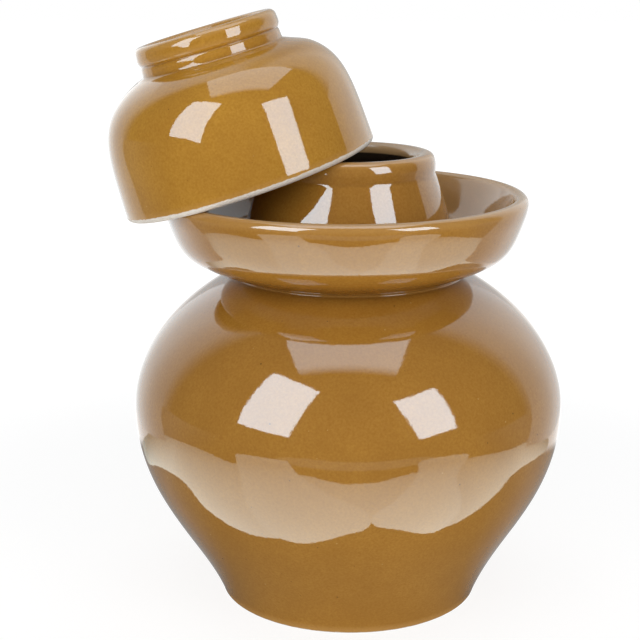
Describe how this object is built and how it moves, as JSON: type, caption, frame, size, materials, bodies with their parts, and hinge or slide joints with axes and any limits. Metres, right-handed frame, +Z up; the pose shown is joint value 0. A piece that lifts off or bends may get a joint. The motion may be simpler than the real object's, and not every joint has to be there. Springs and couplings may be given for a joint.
{
  "type": "water-sealed stoneware pickle jar",
  "caption": "Round-bellied glazed stoneware fermentation jar with a water-seal trough round its neck and a bowl-shaped lid lying tilted on the lip and the trough rim.",
  "frame": {"origin": "middle of the flat underside of the jar, on the surface it stands on and on its turning axis", "axes": "+Z up the jar's turning axis; -X is the side the lid leans towards; -Y is the side the picture shows"},
  "size_m": [0.2508, 0.24, 0.3283],
  "materials": {
    "glaze": "glossy honey-brown iron glaze over stoneware, fine dark specks"
  },
  "bodies": {
    "jar": {"jar": "glaze"},
    "lid": {"lid": "glaze"}
  },
  "joints": [
    {"name": "lid_lift", "type": "slide", "parent": "jar", "child": "lid", "axis": [0, 0, 1], "range_m": [0, 0.15]}
  ]
}
